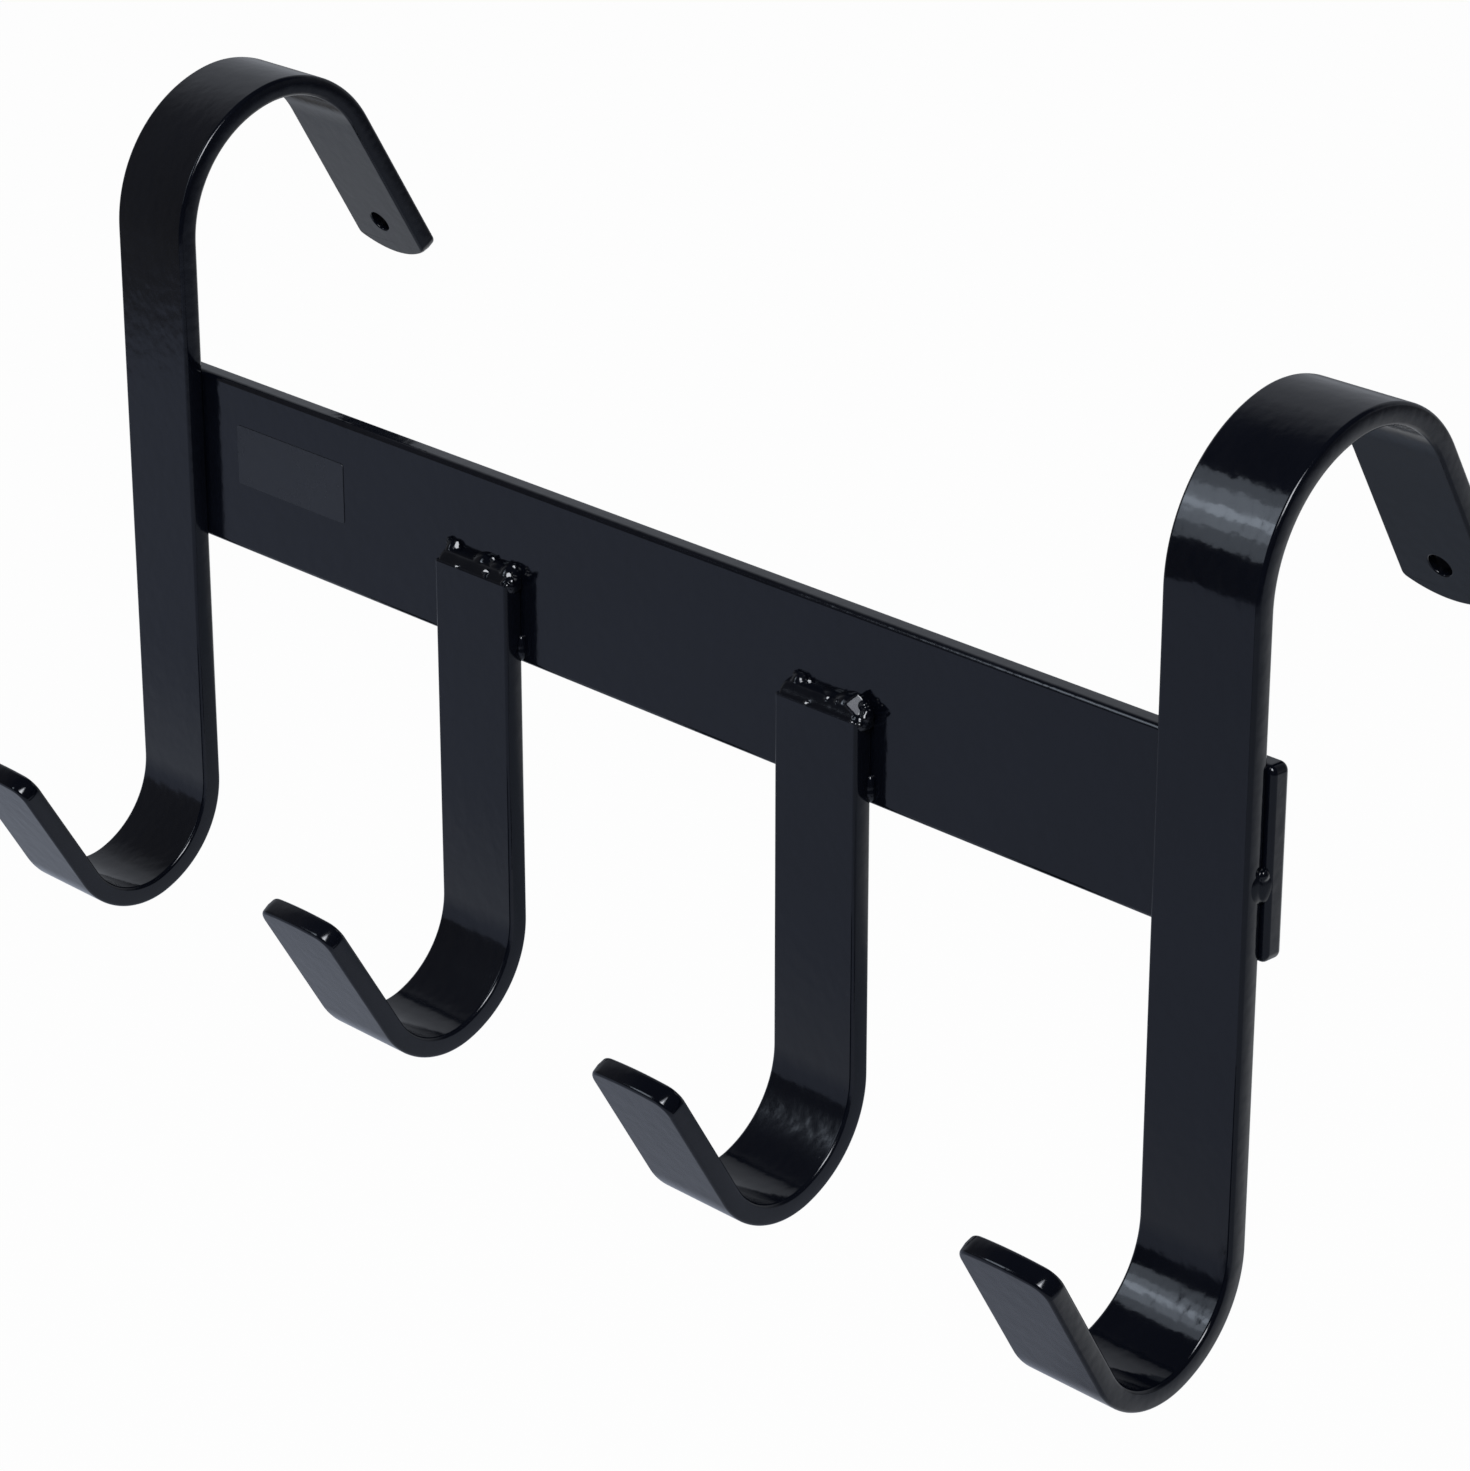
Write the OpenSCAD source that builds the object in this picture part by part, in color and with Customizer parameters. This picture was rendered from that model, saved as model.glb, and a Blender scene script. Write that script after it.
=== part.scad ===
// Bridle rack of flat steel bar: two S-shaped hangers and two short hooks, welded to the
// front of a flat crossbar. The hangers' tops hook over a wall, door or rail, and bridles
// hang on the four hooks below.
// X runs along the crossbar, Y towards the wall and Z up.
// The origin is the centre of the crossbar's back face, which rests against the wall.

/* [Flat bar] */
// Width of the flat bar that the hangers and hooks are bent from
bar_w = 30; // [20:1:50]
// Thickness of that bar
bar_t = 6; // [4:0.5:10]
// Rounding of the long edges of all the bars
edge_r = 1.5; // [0.3:0.1:1.9]

/* [Crossbar] */
// Height of the crossbar
rail_h = 51.5; // [40:0.5:80]
// Thickness of the crossbar
rail_t = 6; // [4:0.5:10]
// How far the crossbar runs past each hanger
rail_over = 2; // [1:0.5:20]
// Rounding of the crossbar's corners, seen from the front
rail_corner = 2; // [0.5:0.5:10]

/* [Hangers] */
// Distance between the centre lines of the two hangers
hanger_pitch = 409; // [340:1:800]
// Height of the start of the top bend above the crossbar's middle
top_rise = 64; // [45:0.5:150]
// Inner radius of the front half of the top bend
top_front_r = 37.5; // [20:0.5:60]
// Angle that the front half of the top bend turns through
top_front_turn = 76.5; // [60:0.5:90]
// Inner radius of the back half of the top bend
top_back_r = 28; // [15:0.5:50]
// Angle that the back half of the top bend turns through
top_back_turn = 73.5; // [60:0.5:90]
// Length of the straight leg behind the top bend
leg_len = 54.5; // [40:0.5:100]
// How far the middle of the leg's end stands proud of its corners
leg_bow = 4.5; // [0.5:0.1:8]
// Rounding of the corners of the leg's end
leg_corner = 2.5; // [0.5:0.1:6]
// Diameter of the screw hole in the leg
hole_d = 7; // [4:0.5:12]
// Distance from the screw hole's centre to the leg's end
hole_inset = 13; // [10:0.5:20]

/* [Hooks] */
// Distance between the centre lines of the two short hooks
hook_pitch = 136.5; // [80:0.5:200]
// How far the pair of short hooks sits to the right of the rack's middle
hook_shift = 4.5; // [-20:0.5:20]
// How far the short hooks reach up the crossbar from its bottom edge
hook_lap = 24.5; // [15:0.5:35]
// Depth of the start of the bottom bend below the crossbar's middle
hook_drop = 102.5; // [60:0.5:200]
// Inner radius of the back half of the bottom bend
hook_back_r = 28; // [15:0.5:50]
// Angle that the back half of the bottom bend turns through
hook_back_turn = 68.5; // [60:0.5:90]
// Inner radius of the front half of the bottom bend
hook_front_r = 18.5; // [10:0.5:40]
// Angle that the front half of the bottom bend turns through
hook_front_turn = 81; // [60:0.5:90]
// Length of the straight tip in front of the bottom bend
tip_len = 43; // [20:0.5:80]
// How far the middle of the tip's end stands proud of its corners
tip_bow = 1.2; // [0.5:0.1:8]
// Rounding of the corners of the tip's end
tip_corner = 5; // [0.5:0.1:8]

/* [Welds] */
// Leg of the bead along the top of each short hook
hook_weld_leg = 4.8; // [2:0.1:8]
// How far that bead runs past each side of the hook
hook_weld_wrap = 1; // [0:0.5:4]
// Leg of the tack beside each short hook at the crossbar's bottom edge
tack_leg = 2.8; // [1.5:0.1:5]
// Length of that tack
tack_run = 9; // [7:0.5:14]
// Leg of the bead on the outer side of each hanger, up to the crossbar's end
outer_weld_leg = 2; // [1:0.1:5]
// Length of that bead
outer_weld_run = 9; // [7:0.5:20]
// Depth of that bead's middle below the crossbar's middle
outer_weld_drop = 4.8; // [0:0.1:12]
// Leg of the beads behind each hanger, along the crossbar's top and bottom edges
rear_weld_leg = 3.5; // [1.5:0.1:5]
// Distance from those beads' ends to the hanger's edges
rear_weld_inset = 5; // [0:0.5:9]
// Distance between a bead's lumps, as a share of its leg
lump_pitch = 0.8; // [0.5:0.05:1]
// Share of a bead's leg by which its lumps differ
lump_ripple = 0.14; // [0:0.01:0.25]

/* [Label] */
// Width of the blank label
label_w = 48.5; // [20:0.5:80]
// Height of the blank label
label_h = 18; // [8:0.5:28]
// Thickness of the label's film
label_t = 0.2; // [0.1:0.05:1]
// Distance from the left hanger to the label
label_gap = 15.5; // [2:0.5:40]
// Height of the label's middle above the crossbar's middle
label_rise = 4; // [-8:0.5:8]

/* [Hidden] */
$fn = 64;
coat_black = "#24272e";
weld_black = "#14161a";
film_black = "#2a2d34";

// Each stretch of a bent bar is thinner than the one before it by this share of the bar's
// thickness all round, so that the stretches join into one piece.
seam_share = 0.0008;
seam = seam_share * bar_t;
// The angle whose multiples make the lumps of a bead uneven
lump_angle = 137;
// The hangers and hooks lie on the crossbar's front face.
front_y = -rail_t;
bar_mid_y = front_y - bar_t / 2;
rail_len = hanger_pitch + bar_w + 2 * rail_over;
hanger_x = hanger_pitch / 2;
hook_top_z = hook_lap - rail_h / 2;
left_hook_x = hook_shift - hook_pitch / 2;
right_hook_x = hook_shift + hook_pitch / 2;
label_x = bar_w / 2 - hanger_x + label_gap;

// A rectangle with rounded corners, centred on the origin
module rounded_rectangle(size_x, size_y, r) {
    square([size_x - 2 * r, size_y], center = true);
    square([size_x, size_y - 2 * r], center = true);
    for (side_x = [-1, 1], side_y = [-1, 1])
        translate([side_x * (size_x / 2 - r), side_y * (size_y / 2 - r)])
            circle(r);
}

// A straight run of flat bar along +Z, with its thickness along Y
module straight_bar(len, seams = 0) {
    linear_extrude(height = len)
        rounded_rectangle(bar_w - 2 * seam * seams, bar_t - 2 * seam * seams, edge_r);
}

// A bend that starts along +Z and turns towards +Y, round the given inner radius.
// It is cut from a half ring where the next stretch of bar starts, so that the two meet exactly.
module bent_bar(inner_r, turn, seams) {
    mid_r = inner_r + bar_t / 2;
    reach = mid_r + bar_t;
    difference() {
        translate([0, mid_r, 0])
            rotate([90, 0, -90])
                rotate_extrude(angle = 180)
                    translate([mid_r, 0])
                        rounded_rectangle(bar_t - 2 * seam * seams, bar_w - 2 * seam * seams, edge_r);
        after_bend(inner_r, turn)
            translate([-bar_w, mid_r - reach, 0])
                cube([2 * bar_w, 2 * reach, reach]);
    }
}

// Puts its children where such a bend ends, with +Z along the bar
module after_bend(inner_r, turn) {
    mid_r = inner_r + bar_t / 2;
    translate([0, mid_r, 0])
        rotate([-turn, 0, 0])
            translate([0, -mid_r, 0])
                children();
}

// The flat outline of a bar's end: a shallow arc across the width, with rounded corners.
// Each corner's arc touches the bar's side and the end's arc.
module end_outline(len, bow, corner) {
    half_w = bar_w / 2;
    arc_r = (half_w * half_w + bow * bow) / (2 * bow);
    arc_y = len - arc_r;
    corner_x = half_w - corner;
    corner_y = arc_y + sqrt(pow(arc_r - corner, 2) - corner_x * corner_x);
    wedge = 2 * arc_r / (arc_r - corner);
    translate([-half_w, -bar_t])
        square([bar_w, corner_y + bar_t]);
    for (side = [-1, 1])
        translate([side * corner_x, corner_y])
            circle(corner);
    intersection() {
        translate([0, arc_y])
            circle(arc_r);
        polygon([
            [0, arc_y],
            [corner_x * wedge, arc_y + (corner_y - arc_y) * wedge],
            [-corner_x * wedge, arc_y + (corner_y - arc_y) * wedge]
        ]);
    }
}

// A straight run of bar along +Z that ends in that outline
module bar_end(len, bow, corner) {
    intersection() {
        straight_bar(len + bar_t, 3);
        rotate([90, 0, 0])
            linear_extrude(height = 2 * bar_t, center = true)
                end_outline(len, bow, corner);
    }
}

// The top of a hanger: over the wall in two radii, then the drilled leg
module top_hook() {
    bent_bar(top_front_r, top_front_turn, 1);
    after_bend(top_front_r, top_front_turn) {
        bent_bar(top_back_r, top_back_turn, 2);
        after_bend(top_back_r, top_back_turn)
            difference() {
                bar_end(leg_len, leg_bow, leg_corner);
                translate([0, 0, leg_len - hole_inset])
                    rotate([90, 0, 0])
                        cylinder(h = 2 * bar_t, d = hole_d, center = true);
            }
    }
}

// The foot of a hanger or short hook: under the bridle in two radii, then the tip
module bottom_hook() {
    bent_bar(hook_back_r, hook_back_turn, 1);
    after_bend(hook_back_r, hook_back_turn) {
        bent_bar(hook_front_r, hook_front_turn, 2);
        after_bend(hook_front_r, hook_front_turn)
            bar_end(tip_len, tip_bow, tip_corner);
    }
}

// One bar from the leg behind the wall to the tip of the hook in front
module hanger(x) {
    color(coat_black)
        translate([x, bar_mid_y, 0]) {
            translate([0, 0, -hook_drop])
                straight_bar(hook_drop + top_rise);
            translate([0, 0, top_rise])
                top_hook();
            translate([0, 0, -hook_drop])
                rotate([180, 0, 0])
                    bottom_hook();
        }
}

// A J-shaped hook, cut off square on the crossbar
module short_hook(x) {
    color(coat_black)
        translate([x, bar_mid_y, -hook_drop]) {
            straight_bar(hook_drop + hook_top_z);
            rotate([180, 0, 0])
                bottom_hook();
        }
}

// The flat bar that carries the hangers and hooks on its front
module crossbar() {
    color(coat_black)
        intersection() {
            translate([-rail_len, front_y + rail_t / 2, 0])
                rotate([90, 0, 90])
                    linear_extrude(height = 2 * rail_len)
                        rounded_rectangle(rail_t, rail_h, edge_r);
            rotate([90, 0, 0])
                linear_extrude(height = 4 * rail_t, center = true)
                    rounded_rectangle(rail_len, rail_h, rail_corner);
        }
}

// A weld bead along Z in the corner between the planes x = 0 and y = 0.
// Overlapping lumps of uneven size, as a welder lays them, fill a quarter round.
module bead(run, leg) {
    lumps = max(2, round((run - 2 * leg) / (lump_pitch * leg)) + 1);
    pitch = (run - 2 * leg) / (lumps - 1);
    color(weld_black)
        rotate_extrude(angle = 90)
            intersection() {
                for (k = [0 : lumps - 1])
                    translate([0, (k - (lumps - 1) / 2) * pitch])
                        circle(leg * (1 - lump_ripple * (1 + sin(k * lump_angle)) / 2));
                translate([0, -run])
                    square([2 * leg, 2 * run]);
            }
}

// The bead along the top of a short hook, on the crossbar's front face
module hook_top_weld(x) {
    translate([x, front_y, hook_top_z])
        rotate([180, 0, 0])
            rotate([0, 90, 0])
                bead(bar_w + 2 * hook_weld_wrap, min(hook_weld_leg, bar_t));
}

// A bead up the side of a hanger or hook, on the crossbar's front face; side is -1 or 1
module side_weld(x, side, z, run, leg) {
    translate([x + side * bar_w / 2, front_y, z])
        rotate(side > 0 ? [180, 0, 0] : [0, 0, 180])
            bead(run, min(leg, bar_t));
}

// A tack beside a short hook that ends level with the crossbar's bottom edge
module hook_tack(x, side) {
    side_weld(x, side, (tack_run - rail_h) / 2 + edge_r, tack_run, tack_leg);
}

// The bead that fills the step between a hanger's outer side and the crossbar's end
module hanger_outer_weld(side) {
    side_weld(side * hanger_x, side, -outer_weld_drop, outer_weld_run, min(outer_weld_leg, rail_over));
}

// The bead behind a hanger, on the crossbar's top edge (up = 1) or bottom edge (up = -1)
module hanger_rear_weld(side, up) {
    mirror([0, 0, up < 0 ? 1 : 0])
        translate([side * hanger_x, front_y, rail_h / 2])
            rotate([90, 0, 90])
                bead(bar_w - 2 * rear_weld_inset, min(rear_weld_leg, rail_t - edge_r));
}

// The blank label on the crossbar's front, near the left hanger
module blank_label() {
    color(film_black)
        translate([label_x, front_y - label_t, label_rise - label_h / 2])
            cube([label_w, label_t, label_h]);
}

crossbar();
hanger(-hanger_x);  // left_hanger
hanger(hanger_x);  // right_hanger
short_hook(left_hook_x);  // left_bridle_hook
short_hook(right_hook_x);  // right_bridle_hook
hook_top_weld(left_hook_x);  // left_hook_top_weld
hook_top_weld(right_hook_x);  // right_hook_top_weld
hook_tack(left_hook_x, -1);  // left_hook_left_tack
hook_tack(left_hook_x, 1);  // left_hook_right_tack
hook_tack(right_hook_x, -1);  // right_hook_left_tack
hook_tack(right_hook_x, 1);  // right_hook_right_tack
hanger_outer_weld(-1);  // left_hanger_outer_weld
hanger_outer_weld(1);  // right_hanger_outer_weld
hanger_rear_weld(-1, 1);  // left_hanger_upper_weld
hanger_rear_weld(1, 1);  // right_hanger_upper_weld
hanger_rear_weld(-1, -1);  // left_hanger_lower_weld
hanger_rear_weld(1, -1);  // right_hanger_lower_weld
blank_label();
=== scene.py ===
"""A welded bridle rack of flat steel bar in gloss black, with its studio and camera."""

import math

import bmesh
import bpy
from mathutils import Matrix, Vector


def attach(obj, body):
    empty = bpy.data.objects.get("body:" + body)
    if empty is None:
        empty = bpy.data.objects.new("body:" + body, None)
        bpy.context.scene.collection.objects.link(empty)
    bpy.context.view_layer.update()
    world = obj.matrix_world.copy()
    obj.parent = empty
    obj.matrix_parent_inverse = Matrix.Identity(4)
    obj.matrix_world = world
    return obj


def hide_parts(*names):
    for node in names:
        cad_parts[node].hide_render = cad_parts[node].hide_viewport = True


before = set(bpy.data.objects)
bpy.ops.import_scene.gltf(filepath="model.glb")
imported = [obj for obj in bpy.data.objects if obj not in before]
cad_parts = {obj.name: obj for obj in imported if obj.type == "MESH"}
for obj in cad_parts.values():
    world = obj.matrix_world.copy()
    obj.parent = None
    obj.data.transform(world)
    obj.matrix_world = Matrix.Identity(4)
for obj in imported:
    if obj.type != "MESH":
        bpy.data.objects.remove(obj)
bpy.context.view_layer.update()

# Crossbar
# A flat steel bar of about 50 x 6 mm, sawn to 443 mm, with eased corners and edges. It carries
# the hangers and hooks on its front, rests its back on the wall and is powder coated with them.
crossbar_low = (-0.2215, -0.006, -0.02575)
crossbar_high = (0.2215, 0.0, 0.02575)
crossbar_corner = 0.0024
crossbar_edge = 0.0015
sharp_turn = 1.0
smooth_turn = math.radians(50)
merge_reach = 0.00001


def block(name, low, high):
    """A square-edged block between two corners, left in edit mode."""
    middle = [(a + b) / 2 for a, b in zip(low, high)]
    size = [b - a for a, b in zip(low, high)]
    bpy.ops.object.select_all(action="DESELECT")
    bpy.ops.mesh.primitive_cube_add(size=1, location=middle, scale=size)
    piece = bpy.context.object
    piece.name = name
    bpy.ops.object.transform_apply(location=True, rotation=True, scale=True)
    bpy.ops.object.mode_set(mode="EDIT")
    return piece


def pick(piece, kind, wanted):
    """Selects, in edit mode, the points, edges or faces that wanted() accepts."""
    bpy.ops.mesh.select_mode(type=kind)
    bpy.ops.mesh.select_all(action="DESELECT")
    mesh = bmesh.from_edit_mesh(piece.data)
    parts = {"VERT": mesh.verts, "EDGE": mesh.edges, "FACE": mesh.faces}[kind]
    for part in parts:
        if wanted(part):
            part.select_set(True)
    mesh.select_flush_mode()
    bmesh.update_edit_mesh(piece.data)


def is_sharp(edge):
    """True for an edge where the surface turns by more than about 57 degrees."""
    return edge.calc_face_angle(0) > sharp_turn


def goes_through(edge):
    """True for an edge that runs straight from the front to the back."""
    run = edge.verts[0].co - edge.verts[1].co
    return abs(run.y) > 0.999 * run.length


def ease(width, segments):
    """Rounds the selected edges."""
    bpy.ops.mesh.bevel(
        offset=width, segments=segments, profile=0.5, affect="EDGES", clamp_overlap=False
    )


def apply_last(piece):
    """Applies the modifier that was added last."""
    bpy.ops.object.modifier_apply(modifier=piece.modifiers[-1].name)


def settle(piece):
    """Leaves edit mode with outward faces, smooth bends and flat flats."""
    bpy.ops.mesh.select_mode(type="VERT")
    bpy.ops.mesh.select_all(action="SELECT")
    bpy.ops.mesh.remove_doubles(threshold=merge_reach)
    bpy.ops.mesh.normals_make_consistent(inside=False)
    bpy.ops.object.mode_set(mode="OBJECT")
    bpy.ops.object.shade_smooth_by_angle(angle=smooth_turn)
    bpy.ops.object.modifier_add(type="WEIGHTED_NORMAL")
    piece.modifiers[-1].keep_sharp = True
    apply_last(piece)


def fit(piece, finish, slot, *nodes):
    """Gives a piece its finish and puts it in the place of its solids."""
    piece.data.materials.clear()
    piece.data.materials.append(finish)
    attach(piece, "root")
    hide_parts(*nodes)


crossbar = block("painted_crossbar", crossbar_low, crossbar_high)
pick(crossbar, "EDGE", goes_through)
ease(crossbar_corner, segments=6)
pick(crossbar, "EDGE", is_sharp)
ease(crossbar_edge, segments=8)
settle(crossbar)

# The coat's skin, as a group: cloudy colour, uneven gloss, orange peel, slow waves of the
# rolled bar under it and a few dust nibs.
cloud_range = (0.35, 0.65)
film_range = (0.3, 0.7)
fine_peel_share = 0.25
wave_height = 1.6
nibs_per_metre = 140
nib_reach = 0.05
nib_rarity = 0.86
coat_ior = 1.5
coat_relief = 0.00004

skin = bpy.data.node_groups.new("coat_skin", "ShaderNodeTree")
for side, name, kind in (
    ("INPUT", "Place", "NodeSocketVector"),
    ("INPUT", "Deep", "NodeSocketColor"),
    ("INPUT", "Pale", "NodeSocketColor"),
    ("INPUT", "Glossy", "NodeSocketFloat"),
    ("INPUT", "Dull", "NodeSocketFloat"),
    ("INPUT", "Peel", "NodeSocketFloat"),
    ("INPUT", "Nibs", "NodeSocketFloat"),
    ("OUTPUT", "Colour", "NodeSocketColor"),
    ("OUTPUT", "Roughness", "NodeSocketFloat"),
    ("OUTPUT", "Height", "NodeSocketFloat"),
):
    skin.interface.new_socket(name=name, in_out=side, socket_type=kind)
skin_in = skin.nodes.new("NodeGroupInput")
skin_out = skin.nodes.new("NodeGroupOutput")


def noise(tree, place, per_metre, detail):
    """Noise on the piece itself, with a number of lumps to the metre."""
    node = tree.nodes.new("ShaderNodeTexNoise")
    node.inputs["Scale"].default_value = per_metre
    node.inputs["Detail"].default_value = detail
    tree.links.new(place, node.inputs["Vector"])
    return node.outputs["Fac"]


def spread(tree, value, low, high, to_low=0.0, to_high=1.0):
    """Maps a range of values to another, whose ends are numbers or sockets."""
    node = tree.nodes.new("ShaderNodeMapRange")
    node.inputs["From Min"].default_value = low
    node.inputs["From Max"].default_value = high
    tree.links.new(value, node.inputs["Value"])
    for socket, end in (("To Min", to_low), ("To Max", to_high)):
        if isinstance(end, float):
            node.inputs[socket].default_value = end
        else:
            tree.links.new(end, node.inputs[socket])
    return node.outputs["Result"]


def figure(tree, operation, first, second, third=None):
    """One step of arithmetic on two or three numbers or sockets."""
    node = tree.nodes.new("ShaderNodeMath")
    node.operation = operation
    for index, value in enumerate((first, second, third)):
        if isinstance(value, float):
            node.inputs[index].default_value = value
        elif value is not None:
            tree.links.new(value, node.inputs[index])
    return node.outputs[0]


def overlap(tree, first, *others):
    """A mask that is full only where all of its masks are."""
    shared = first
    for mask in others:
        shared = figure(tree, "MULTIPLY", shared, mask)
    return shared


def blend(tree, share, first, second):
    """A mix of two colours, each a colour or a socket."""
    node = tree.nodes.new("ShaderNodeMix")
    node.data_type = "RGBA"
    tree.links.new(share, node.inputs["Factor"])
    # The node also has number and vector sockets. Its colours go in at 6 and 7 and come out at 2.
    for index, colour in ((6, first), (7, second)):
        if isinstance(colour, tuple):
            node.inputs[index].default_value = colour
        else:
            tree.links.new(colour, node.inputs[index])
    return node.outputs[2]


skin_place = skin_in.outputs["Place"]
cloud = spread(skin, noise(skin, skin_place, per_metre=26, detail=4), *cloud_range)
tint = blend(skin, cloud, skin_in.outputs["Deep"], skin_in.outputs["Pale"])
skin.links.new(tint, skin_out.inputs["Colour"])
half_cloud = figure(skin, "MULTIPLY", cloud, 0.5)
fine_cloud = noise(skin, skin_place, per_metre=190, detail=3)
film = figure(skin, "MULTIPLY_ADD", fine_cloud, 0.5, half_cloud)
gloss = spread(skin, film, *film_range, skin_in.outputs["Glossy"], skin_in.outputs["Dull"])
skin.links.new(gloss, skin_out.inputs["Roughness"])
speck = skin.nodes.new("ShaderNodeTexVoronoi")
speck.inputs["Scale"].default_value = nibs_per_metre
skin.links.new(skin_place, speck.inputs["Vector"])
speck_tone = skin.nodes.new("ShaderNodeSeparateColor")
skin.links.new(speck.outputs["Color"], speck_tone.inputs["Color"])
nib = overlap(
    skin,
    spread(skin, speck.outputs["Distance"], nib_reach, 0.0),
    figure(skin, "GREATER_THAN", speck_tone.outputs["Red"], nib_rarity),
)
coarse_peel = noise(skin, skin_place, per_metre=230, detail=1)
fine_peel = noise(skin, skin_place, per_metre=520, detail=1)
peel = figure(skin, "MULTIPLY_ADD", fine_peel, fine_peel_share, coarse_peel)
waves = figure(skin, "MULTIPLY", noise(skin, skin_place, per_metre=24, detail=1), wave_height)
height = figure(skin, "MULTIPLY_ADD", peel, skin_in.outputs["Peel"], waves)
height = figure(skin, "MULTIPLY_ADD", nib, skin_in.outputs["Nibs"], height)
skin.links.new(height, skin_out.inputs["Height"])


def coat(name, deep, pale, glossy, dull, peel, nibs):
    """A dark finish whose colour, gloss and relief come from the shared skin."""
    finish = bpy.data.materials.new(name)
    finish.use_nodes = True
    tree = finish.node_tree
    shader = tree.nodes["Principled BSDF"]
    shader.inputs["IOR"].default_value = coat_ior
    place = tree.nodes.new("ShaderNodeTexCoord")
    layer = tree.nodes.new("ShaderNodeGroup")
    layer.node_tree = skin
    for socket, value in (
        ("Deep", deep),
        ("Pale", pale),
        ("Glossy", glossy),
        ("Dull", dull),
        ("Peel", peel),
        ("Nibs", nibs),
    ):
        layer.inputs[socket].default_value = value
    relief = tree.nodes.new("ShaderNodeBump")
    relief.inputs["Strength"].default_value = 1
    relief.inputs["Distance"].default_value = coat_relief
    tree.links.new(place.outputs["Object"], layer.inputs["Place"])
    tree.links.new(layer.outputs["Colour"], shader.inputs["Base Color"])
    tree.links.new(layer.outputs["Roughness"], shader.inputs["Roughness"])
    tree.links.new(layer.outputs["Height"], relief.inputs["Height"])
    tree.links.new(relief.outputs["Normal"], shader.inputs["Normal"])
    return finish


powder_coat = coat(
    "gloss_black_powder_coat",
    deep=(0.0022, 0.0030, 0.0060, 1),
    pale=(0.0034, 0.0044, 0.0082, 1),
    glossy=0.09,
    dull=0.14,
    peel=1.9,
    nibs=0.9,
)
fit(crossbar, powder_coat, "powder_coat", "crossbar")

# Hangers
# Two S-shaped bars of 30 x 6 mm, each bent cold in two radii at both ends: over the wall at
# the top, where a round-ended leg has a screw hole, and under the bridle at the foot.
bar_w = 0.030
bar_t = 0.006
bar_edge = 0.0010
bar_middle_y = -0.009
hanger_x = 0.2045
top_rise = 0.064
hook_drop = 0.1025
side_crown = 0.00030
rim_edge = 0.0005
corner_steps = 10
arc_steps = 24
bend_step = math.radians(1.5)
near_zero = 1e-6


def on_rim(edge, hole_r, hole_z):
    """True for an edge on the rim of a hole through the bar."""
    rim_r = hole_r * 1.05
    return all(math.hypot(point.co.x, point.co.z - hole_z) < rim_r for point in edge.verts)


def drill(piece, hole_r, hole_z):
    """Cuts a round hole through the bar with a cylinder."""
    bpy.ops.object.mode_set(mode="OBJECT")
    bpy.ops.mesh.primitive_cylinder_add(
        vertices=64,
        radius=hole_r,
        depth=4 * bar_t,
        location=(0, 0, hole_z),
        rotation=(math.pi / 2, 0, 0),
    )
    cutter = bpy.context.object
    bpy.context.view_layer.objects.active = piece
    bpy.ops.object.modifier_add(type="BOOLEAN")
    piece.modifiers[-1].object = cutter
    apply_last(piece)
    bpy.data.objects.remove(cutter)
    piece.select_set(True)
    bpy.ops.object.mode_set(mode="EDIT")


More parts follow.
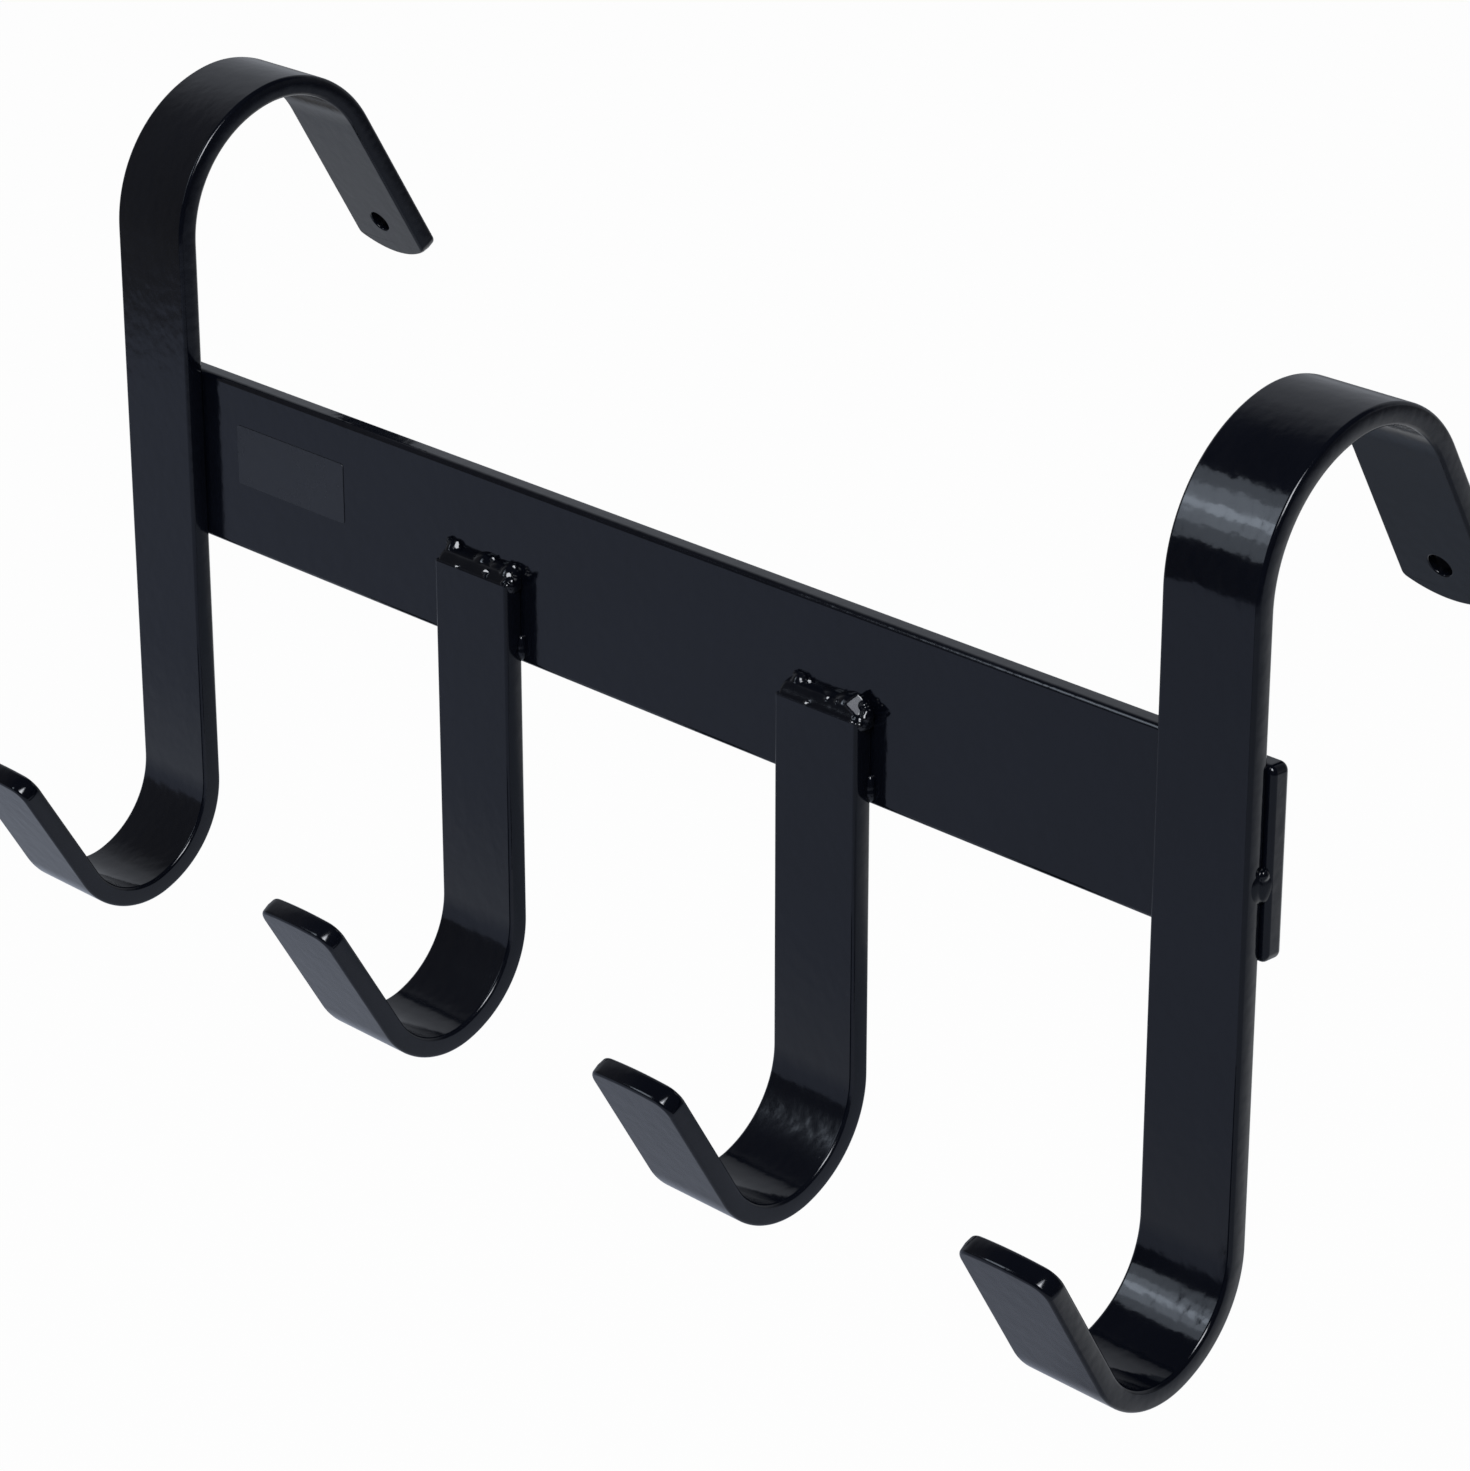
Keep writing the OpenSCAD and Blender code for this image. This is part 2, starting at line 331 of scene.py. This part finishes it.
def bar_end(name, length, bow, corner, hole_r=0, hole_inset=0):
    """The shaped end of a flat bar, standing on z = 0, open below and with its edges eased."""
    half = bar_w / 2
    arc_r = (half**2 + bow**2) / (2 * bow)
    arc_z = length - arc_r
    corner_x = half - corner
    corner_z = arc_z + math.sqrt((arc_r - corner) ** 2 - corner_x**2)
    corner_turn = math.atan2(corner_z - arc_z, corner_x)
    face_y = -bar_t / 2

    bpy.ops.object.select_all(action="DESELECT")
    bpy.ops.mesh.primitive_plane_add(size=bar_w)
    piece = bpy.context.object
    piece.name = name
    bpy.ops.object.mode_set(mode="EDIT")
    bpy.ops.mesh.select_mode(type="VERT")
    bpy.ops.mesh.select_all(action="SELECT")
    bpy.ops.mesh.merge(type="CENTER")
    bpy.ops.transform.translate(value=(half, face_y, 0))
    bpy.ops.mesh.extrude_vertices_move(TRANSFORM_OT_translate={"value": (0, 0, corner_z)})
    for centre_x, centre_z, turn, steps in (
        (corner_x, corner_z, corner_turn, corner_steps),
        (0, arc_z, math.pi - 2 * corner_turn, arc_steps),
        (-corner_x, corner_z, corner_turn, corner_steps),
    ):
        centre = (centre_x, face_y, centre_z)
        bpy.ops.mesh.spin(steps=steps, angle=turn, center=centre, axis=(0, 1, 0))
    bpy.ops.mesh.extrude_vertices_move(TRANSFORM_OT_translate={"value": (0, 0, -corner_z)})
    pick(piece, "VERT", lambda point: abs(point.co.z) < near_zero)
    bpy.ops.mesh.edge_face_add()
    bpy.ops.mesh.select_mode(type="EDGE")
    bpy.ops.mesh.select_all(action="SELECT")
    bpy.ops.mesh.edge_face_add()
    bpy.ops.mesh.select_mode(type="FACE")
    bpy.ops.mesh.select_all(action="SELECT")
    bpy.ops.mesh.extrude_region_move(TRANSFORM_OT_translate={"value": (0, bar_t, 0)})
    bpy.ops.mesh.select_all(action="SELECT")
    bpy.ops.mesh.normals_make_consistent(inside=False)
    pick(piece, "EDGE", goes_through)
    bpy.ops.mesh.subdivide(number_cuts=1)
    if hole_r:
        hole_z = length - hole_inset
        drill(piece, hole_r, hole_z)
        pick(piece, "EDGE", lambda edge: is_sharp(edge) and on_rim(edge, hole_r, hole_z))
        ease(rim_edge, segments=3)
    pick(piece, "FACE", lambda face: all(abs(point.co.z) < near_zero for point in face.verts))
    bpy.ops.mesh.delete(type="FACE")
    pick(piece, "VERT", lambda point: abs(point.co.y) < near_zero)
    bpy.ops.transform.shrink_fatten(value=side_crown)
    pick(piece, "EDGE", is_sharp)
    ease(bar_edge, segments=5)
    return piece


def bend(piece, inner_r, degrees):
    """Swings the bar made so far over towards +Y and rolls its open end round the bend."""
    pivot = (0, inner_r + bar_t / 2, 0)
    turn = math.radians(degrees)
    bpy.ops.mesh.select_all(action="SELECT")
    bpy.ops.transform.rotate(value=turn, orient_axis="X", center_override=pivot)
    pick(piece, "EDGE", lambda edge: edge.is_boundary)
    bpy.ops.mesh.spin(steps=round(turn / bend_step), angle=-turn, center=pivot, axis=(1, 0, 0))


def bottom_hook(name):
    """The foot that a bridle hangs in: the tip, its two bends and an open end above them."""
    piece = bar_end(name, length=0.043, bow=0.0012, corner=0.005)
    bend(piece, inner_r=0.0185, degrees=81)
    bend(piece, inner_r=0.028, degrees=68.5)
    bpy.ops.mesh.select_all(action="SELECT")
    bpy.ops.transform.rotate(value=math.pi, orient_axis="X", center_override=(0, 0, 0))
    bpy.ops.transform.translate(value=(0, bar_middle_y, -hook_drop))
    return piece


left_hanger = bottom_hook("painted_left_hanger")
bpy.ops.object.mode_set(mode="OBJECT")
top_hook = bar_end(
    "top_hook", length=0.0545, bow=0.0045, corner=0.0025, hole_r=0.0035, hole_inset=0.013
)
bend(top_hook, inner_r=0.028, degrees=73.5)
bend(top_hook, inner_r=0.0375, degrees=76.5)
bpy.ops.mesh.select_all(action="SELECT")
bpy.ops.transform.translate(value=(0, bar_middle_y, top_rise))
bpy.ops.object.mode_set(mode="OBJECT")
bpy.ops.object.select_all(action="DESELECT")
top_hook.select_set(True)
left_hanger.select_set(True)
bpy.context.view_layer.objects.active = left_hanger
bpy.ops.object.join()
bpy.ops.object.mode_set(mode="EDIT")
pick(left_hanger, "EDGE", lambda edge: edge.is_boundary)
bpy.ops.mesh.bridge_edge_loops()
bpy.ops.mesh.select_all(action="SELECT")
bpy.ops.transform.translate(value=(-hanger_x, 0, 0))
settle(left_hanger)


def copy_along(piece, name, distance):
    """A copy of a piece with its own mesh, moved along the crossbar."""
    bpy.ops.object.select_all(action="DESELECT")
    piece.select_set(True)
    bpy.context.view_layer.objects.active = piece
    bpy.ops.object.duplicate(linked=False)
    copy = bpy.context.object
    copy.name = name
    bpy.ops.object.mode_set(mode="EDIT")
    bpy.ops.mesh.select_all(action="SELECT")
    bpy.ops.transform.translate(value=(distance, 0, 0))
    bpy.ops.object.mode_set(mode="OBJECT")
    return copy


right_hanger = copy_along(left_hanger, "painted_right_hanger", 2 * hanger_x)
fit(left_hanger, powder_coat, "powder_coat", "left_hanger")
fit(right_hanger, powder_coat, "powder_coat", "right_hanger")

# Short hooks
# Two J-shaped hooks of the same bar, sawn off square about 24 mm up the crossbar's front and
# welded there. Their feet are bent to the same form as the hangers' feet.
left_hook_x = -0.06375
right_hook_x = 0.07275
hook_top_z = -0.00125
sawn_edge = 0.0006


def on_sawn_end(edge):
    """True for an edge round the sawn end of a short hook."""
    return is_sharp(edge) and abs(edge.verts[0].co.z - hook_top_z) < near_zero


left_hook = bottom_hook("painted_left_hook")
pick(left_hook, "EDGE", lambda edge: edge.is_boundary)
straight_rise = (0, 0, hook_drop + hook_top_z)
bpy.ops.mesh.extrude_edges_move(TRANSFORM_OT_translate={"value": straight_rise})
bpy.ops.mesh.edge_face_add()
pick(left_hook, "EDGE", on_sawn_end)
ease(sawn_edge, segments=3)
bpy.ops.mesh.select_all(action="SELECT")
bpy.ops.transform.translate(value=(left_hook_x, 0, 0))
settle(left_hook)
right_hook = copy_along(left_hook, "painted_right_hook", right_hook_x - left_hook_x)
fit(left_hook, powder_coat, "powder_coat", "left_bridle_hook")
fit(right_hook, powder_coat, "powder_coat", "right_bridle_hook")

# Welds
# Hand-laid beads under the same coat: a lumpy one along the top of each short hook, a tack at
# each of its sides, one outside each hanger and two behind it on the crossbar's edges.
mm = 0.001
weld_voxel = 0.0002
flat_sink = 0.0007
weld_coat = coat(
    "gloss_black_coat_on_weld",
    deep=(0.0020, 0.0027, 0.0052, 1),
    pale=(0.0032, 0.0041, 0.0072, 1),
    glossy=0.07,
    dull=0.13,
    peel=0.5,
    nibs=0.4,
)
weld_ripple = bpy.data.textures.new("weld_ripple", "CLOUDS")
weld_ripple.noise_scale = 0.005
weld_ripple.noise_depth = 1


def weld(node, drops, core=None, flats=(), facing=(0, 0, 1), ripple=0.00015):
    """Melts a round core, drops and flat spots of weld metal into one bead.

    A core is (start x, end x, y, z, radius in y, radius in z), a drop is (x, y, z, three radii)
    and a flat is (x, y, z, two radii), all in millimetres. A flat with its own facing is square.
    """
    bpy.ops.object.select_all(action="DESELECT")
    metal = []
    if core:
        start, end, y, z, deep, tall = core
        bpy.ops.mesh.primitive_cylinder_add(
            vertices=128,
            radius=mm,
            depth=2 * mm,
            location=((start + end) / 2 / 1000, y / 1000, z / 1000),
            rotation=(0, math.pi / 2, 0),
            scale=(tall, deep, (end - start) / 2),
        )
        metal.append(bpy.context.object)
    for x, y, z, *radii in drops:
        bpy.ops.mesh.primitive_ico_sphere_add(
            subdivisions=5, radius=mm, location=(x / 1000, y / 1000, z / 1000), scale=radii
        )
        metal.append(bpy.context.object)
    for x, y, z, wide, tall, *own in flats:
        out = Vector(own[0] if own else facing).normalized()
        bpy.ops.mesh.primitive_cylinder_add(
            vertices=4 if own else 24,
            radius=mm,
            depth=2 * mm,
            location=Vector((x, y, z)) / 1000 - out * flat_sink,
            rotation=out.to_track_quat("Z", "Y").to_euler(),
            scale=(wide, tall, 1),
        )
        metal.append(bpy.context.object)
    for lump in metal:
        lump.select_set(True)
    bpy.ops.object.join()
    piece = bpy.context.object
    piece.name = "painted_" + node
    bpy.ops.object.transform_apply(location=True, rotation=True, scale=True)
    bpy.ops.object.modifier_add(type="REMESH")
    piece.modifiers[-1].mode = "VOXEL"
    piece.modifiers[-1].voxel_size = weld_voxel
    apply_last(piece)
    bpy.ops.object.modifier_add(type="SMOOTH")
    piece.modifiers[-1].factor = 0.5
    piece.modifiers[-1].iterations = 8
    apply_last(piece)
    bpy.ops.object.modifier_add(type="DISPLACE")
    piece.modifiers[-1].texture = weld_ripple
    piece.modifiers[-1].texture_coords = "LOCAL"
    piece.modifiers[-1].strength = ripple
    apply_last(piece)
    bpy.ops.object.shade_smooth()
    fit(piece, weld_coat, "weld_coat", node)


weld(
    "left_hook_top_weld",
    core=(-77.0, -50.5, -6.2, -2.3, 5.5, 4.0),
    drops=[
        (-77.0, -6.2, -2.3, 2.2, 5.5, 4.0),
        (-76.4, -6.6, 0.2, 2.6, 2.6, 3.3),
        (-78.3, -6.5, 2.6, 1.2, 1.2, 1.4),
        (-63.2, -6.4, -0.8, 5.0, 3.2, 3.9),
        (-57.0, -6.4, -1.2, 6.0, 3.4, 3.6),
        (-52.0, -6.5, -0.8, 3.4, 4.0, 4.0),
        (-50.2, -8.4, -2.0, 2.7, 3.4, 2.9),
    ],
    flats=[
        (-74.6, -7.0, 2.5, 0.8, 1.4),
        (-59.3, -7.0, 2.7, 0.7, 0.6),
        (-69.4, -11.9, -1.2, 0.7, 0.6),
        (-58.0, -11.0, 0.3, 0.9, 0.7),
        (-57.7, -11.4, -1.1, 0.6, 0.5),
        (-50.4, -7.2, 2.4, 0.8, 1.0),
        (-50.0, -9.5, 0.9, 1.0, 1.1),
        (-47.6, -10.5, 0.1, 0.6, 0.7),
        (-50.3, -11.5, -1.3, 0.7, 0.6),
        (-48.6, -11.4, -1.2, 0.6, 0.5),
    ],
    facing=(0.608, -0.574, 0.548),
    ripple=0.00005,
)
weld(
    "right_hook_top_weld",
    core=(59.6, 86.0, -6.2, -2.0, 5.5, 4.3),
    drops=[
        (59.6, -6.2, -2.0, 2.2, 5.5, 4.3),
        (62.0, -6.6, 0.6, 2.8, 2.6, 3.4),
        (60.6, -6.5, 2.8, 1.3, 1.2, 1.4),
        (74.5, -6.4, -1.0, 7.0, 3.4, 3.8),
        (80.0, -6.5, -0.8, 5.0, 3.8, 4.3),
        (84.0, -6.4, -0.8, 4.0, 4.2, 4.6),
        (86.6, -8.2, -1.9, 2.8, 3.5, 2.9),
        (88.4, -8.2, 0.2, 1.5, 2.0, 2.2),
        (87.0, -8.0, 2.2, 1.2, 1.3, 1.4),
    ],
    flats=[
        (63.2, -7.0, 3.2, 0.8, 0.7),
        (65.6, -7.0, 2.7, 0.9, 0.5),
        (75.2, -9.5, 1.4, 0.9, 0.7),
        (78.5, -9.5, 1.4, 0.6, 0.6),
        (69.5, -12.0, -1.0, 0.7, 0.6),
        (84.7, -8.5, 2.9, 3.2, 2.3, (0.449, -0.674, 0.584)),
        (85.5, -9.3, 2.5, 3.4, 3.1, (0.485, -0.69, 0.535)),
        (86.4, -11.6, -1.4, 0.9, 0.5),
        (88.6, -11.4, -1.4, 0.6, 0.5),
        (89.0, -10.1, 0.4, 0.6, 0.7),
    ],
    facing=(0.555, -0.605, 0.572),
    ripple=0.00005,
)
for side, hook_x in (("left", left_hook_x), ("right", right_hook_x)):
    for edge, way in (("left", -1), ("right", 1)):
        corner = hook_x * 1000 + way * bar_w * 500
        weld(
            side + "_hook_" + edge + "_tack",
            drops=[
                (corner + way * 0.1, -6.3, -20.8, 1.5, 1.7, 3.8),
                (corner + way * 0.2, -6.3, -22.0, 1.6, 1.8, 2.4),
            ],
        )
for side, way in (("left", -1), ("right", 1)):
    middle = way * hanger_x * 1000
    corner = way * (hanger_x + bar_w / 2) * 1000
    weld(
        side + "_hanger_outer_weld",
        drops=[
            (corner - way * 0.4, -6.8, -5.4, 1.3, 3.9, 4.9),
            (corner + way * 0.5, -4.6, -5.2, 1.45, 3.4, 4.9),
            (corner + way * 1.0, -6.4, -2.2, 0.9, 1.5, 1.6),
        ],
        ripple=0.00008,
    )
    for level, up in (("upper", 1), ("lower", -1)):
        edge_z = up * crossbar_high[2] * 1000
        weld(
            side + "_hanger_" + level + "_weld",
            drops=[
                (middle - 7.6, -5.8, edge_z, 2.8, 3.3, 3.2),
                (middle - 4.4, -5.9, edge_z, 3.2, 3.6, 3.5),
                (middle - 0.6, -6.0, edge_z, 3.4, 3.4, 3.3),
                (middle + 3.4, -5.8, edge_z, 3.2, 3.5, 3.6),
                (middle + 7.2, -5.9, edge_z, 3.0, 3.2, 3.2),
            ],
        )

# Blank label
# A thin plain film with rounded corners and a satin face, stuck to the crossbar's front beside
# the left hanger.
label_low = (-0.174, -0.0062, -0.005)
label_high = (-0.1255, -0.006, 0.013)
label_middle_y = -0.0061
label_corner = 0.001
label_edge = 0.00006


def on_label_face(edge):
    """True for a sharp edge round the label's face."""
    return is_sharp(edge) and all(point.co.y < label_middle_y for point in edge.verts)


label = block("plain_label", label_low, label_high)
pick(label, "EDGE", goes_through)
ease(label_corner, segments=6)
pick(label, "EDGE", on_label_face)
ease(label_edge, segments=3)
settle(label)
label_film = coat(
    "satin_dark_film",
    deep=(0.0215, 0.0235, 0.0285, 1),
    pale=(0.0270, 0.0290, 0.0345, 1),
    glossy=0.20,
    dull=0.30,
    peel=0.35,
    nibs=0.5,
)
fit(label, label_film, "label_film", "blank_label")

# Studio
# The rack hangs well above a plain pale floor. What its gloss mirrors is a card just under it
# that glows only in reflections, with the light and shade of a grey paper table painted into its
# glow, then grey paper low in front and behind, a pale sweep low behind and a dark room above.
floor_z = -1.1
floor_grey = (0.9, 0.9, 0.9, 1)
floor_glow = 0.98
# The card's glow tones are seen only in reflections. They paint the light and shade of a lit
# paper table, with painted shade making it darker to the front and towards the right, near the
# rack.
table_z = -0.138
table_front = (0.28, 0.315, 0.41, 1)
table_near_left = (0.42, 0.46, 0.55, 1)
table_near_right = (0.33, 0.36, 0.44, 1)
table_back_left = (0.48, 0.51, 0.57, 1)
table_back_right = (0.22, 0.25, 0.31, 1)
dark_room = (0.036, 0.038, 0.048, 1)
left_wall = (0.12, 0.12, 0.125, 1)
front_paper = (0.24, 0.265, 0.32, 1)
back_paper = (0.38, 0.40, 0.44, 1)
pale_sweep = (0.92, 0.95, 1.0, 1)
white = (1, 1, 1, 1)


def stage_plane(name, size, z):
    """A level plane of the studio."""
    bpy.ops.object.select_all(action="DESELECT")
    bpy.ops.mesh.primitive_plane_add(size=size, location=(0, 0, z))
    plane = bpy.context.object
    plane.name = name
    bpy.ops.object.transform_apply(location=True, rotation=True, scale=True)
    return plane


def lean(tree, vector, direction):
    """How far a vector reaches along a direction."""
    node = tree.nodes.new("ShaderNodeVectorMath")
    node.operation = "DOT_PRODUCT"
    node.inputs[1].default_value = direction
    tree.links.new(vector, node.inputs[0])
    return node.outputs["Value"]


floor = stage_plane("floor", size=14, z=floor_z)
floor.visible_glossy = False
floor_paint = bpy.data.materials.new("pale_floor")
floor_paint.use_nodes = True
paint = floor_paint.node_tree
paint.nodes.clear()
floor_out = paint.nodes.new("ShaderNodeOutputMaterial")
floor_mix = paint.nodes.new("ShaderNodeMixShader")
floor_matt = paint.nodes.new("ShaderNodeBsdfDiffuse")
floor_matt.inputs["Color"].default_value = floor_grey
floor_white = paint.nodes.new("ShaderNodeEmission")
floor_ray = paint.nodes.new("ShaderNodeLightPath")
floor_share = figure(paint, "MULTIPLY", floor_ray.outputs["Is Camera Ray"], floor_glow)
paint.links.new(floor_share, floor_mix.inputs["Fac"])
paint.links.new(floor_matt.outputs[0], floor_mix.inputs[1])
paint.links.new(floor_white.outputs[0], floor_mix.inputs[2])
paint.links.new(floor_mix.outputs[0], floor_out.inputs["Surface"])
floor.data.materials.append(floor_paint)

# A card that glows only in reflections. The camera, diffuse light and shadows do not see it. It
# is a painted reflection of a lit paper table, with that table's shade painted into its glow.
reflection_glow_card = stage_plane("table_reflection_glow", size=6, z=table_z)
reflection_glow_card.visible_camera = False
reflection_glow_card.visible_diffuse = False
reflection_glow_card.visible_shadow = False
table_glow = bpy.data.materials.new("painted_table_reflection")
table_glow.use_nodes = True
sheet = table_glow.node_tree
sheet.nodes.clear()
spot = sheet.nodes.new("ShaderNodeTexCoord").outputs["Object"]
across = lean(sheet, spot, (1, 0, 0))
inward = lean(sheet, spot, (0, 1, 0))
near = blend(sheet, spread(sheet, across, -0.25, 0.2), table_near_left, table_near_right)
back = blend(sheet, spread(sheet, across, -0.35, 0.0), table_back_left, table_back_right)
lit = blend(sheet, spread(sheet, inward, -0.115, -0.062), table_front, near)
lit = blend(sheet, spread(sheet, inward, -0.02, 0.04), lit, back)
on_table = overlap(
    sheet,
    spread(sheet, lean(sheet, spot, (0.732, 0.681, 0)), -0.735, -0.675),
    spread(sheet, lean(sheet, spot, (0.726, -0.688, 0)), 0.28, 0.24),
    spread(sheet, across, 0.25, 0.19),
    spread(sheet, inward, 0.16, 0.10),
)
glow = sheet.nodes.new("ShaderNodeEmission")
see_past = sheet.nodes.new("ShaderNodeBsdfTransparent")
table_mix = sheet.nodes.new("ShaderNodeMixShader")
table_out = sheet.nodes.new("ShaderNodeOutputMaterial")
sheet.links.new(lit, glow.inputs["Color"])
sheet.links.new(on_table, table_mix.inputs["Fac"])
sheet.links.new(see_past.outputs[0], table_mix.inputs[1])
sheet.links.new(glow.outputs[0], table_mix.inputs[2])
sheet.links.new(table_mix.outputs[0], table_out.inputs["Surface"])
reflection_glow_card.data.materials.append(table_glow)

world = bpy.data.worlds.new("studio")
bpy.context.scene.world = world
world.use_nodes = True
room = world.node_tree
look = room.nodes.new("ShaderNodeTexCoord").outputs["Generated"]
look_right = lean(room, look, (1, 0, 0))
look_back = lean(room, look, (0, 1, 0))
look_up = lean(room, look, (0, 0, 1))
at_left = overlap(
    room, spread(room, look_right, -0.58, -0.78), spread(room, look_up, 0.90, 0.70)
)
seen = blend(room, at_left, dark_room, left_wall)
low_front = overlap(
    room, spread(room, look_right, -0.45, -0.25), spread(room, look_up, -0.20, -0.33)
)
seen = blend(room, low_front, seen, front_paper)
behind = overlap(
    room,
    spread(room, lean(room, look, (-0.5, 0.75, -0.47)), -0.03, 0.30),
    spread(room, look_back, -0.35, -0.10),
    spread(room, look_up, -0.2, 0.0),
)
seen = blend(room, behind, seen, back_paper)
low_behind = spread(room, lean(room, look, (0, 0.7, -0.71)), 0.58, 0.87)
seen = blend(room, figure(room, "POWER", low_behind, 2.2), seen, pale_sweep)
sky_ray = room.nodes.new("ShaderNodeLightPath")
direct = figure(
    room, "MAXIMUM", sky_ray.outputs["Is Camera Ray"], sky_ray.outputs["Is Transmission Ray"]
)
seen = blend(room, direct, seen, white)
room.links.new(seen, room.nodes["Background"].inputs["Color"])


def soft_box(name, place, aim, width, height, radiance, tone, roll=0):
    """A rectangular soft box that faces a point, with a given brightness of its front."""
    bpy.ops.object.light_add(type="AREA", location=place)
    lamp = bpy.context.object
    lamp.name = name
    lamp.rotation_euler = (Vector(aim) - Vector(place)).to_track_quat("-Z", "Y").to_euler()
    lamp.rotation_euler.rotate_axis("Z", math.radians(roll))
    lamp.data.shape = "RECTANGLE"
    lamp.data.size = width
    lamp.data.size_y = height
    lamp.data.energy = radiance * math.pi * width * height
    lamp.data.color = tone


strip_aim = (hanger_x, 0, 0)
strip_roll = 22
strip_tone = (0.76, 0.86, 1.0)
for name, place, width, height, radiance in (
    ("strip_box", (-0.97, -1.24, 0.90), 0.27, 1.26, 1.3),
    ("strip_middle", (-0.96, -1.23, 0.90), 0.25, 0.66, 1.3),
    ("strip_core", (-0.95, -1.22, 0.87), 0.24, 0.16, 2.6),
):
    soft_box(name, place, strip_aim, width, height, radiance, strip_tone, strip_roll)
key_aim = (0, 0, 0)
for name, place, width, height, radiance, tone in (
    ("key_box", (1.0, -1.15, 1.6), 0.7, 0.7, 10, (0.95, 0.97, 1.0)),
    ("key_spill", (1.01, -1.16, 1.61), 1.1, 1.1, 4, (0.86, 0.90, 1.0)),
):
    soft_box(name, place, key_aim, width, height, radiance, tone)

# Camera
# It looks down on the rack from the right front through a long lens, from the photo's own
# place, so that the left hanger's tip and the right leg run out of the frame.
camera_place = (0.90045, -0.8248, 0.4728)
camera_pitch = math.radians(67.442)
camera_turn = math.radians(46.531)

bpy.ops.object.camera_add(location=camera_place, rotation=(camera_pitch, 0, camera_turn))
camera = bpy.context.object
camera.data.sensor_width = 36
camera.data.lens = 119.06
bpy.context.scene.camera = camera
bpy.context.scene.view_settings.view_transform = "Standard"
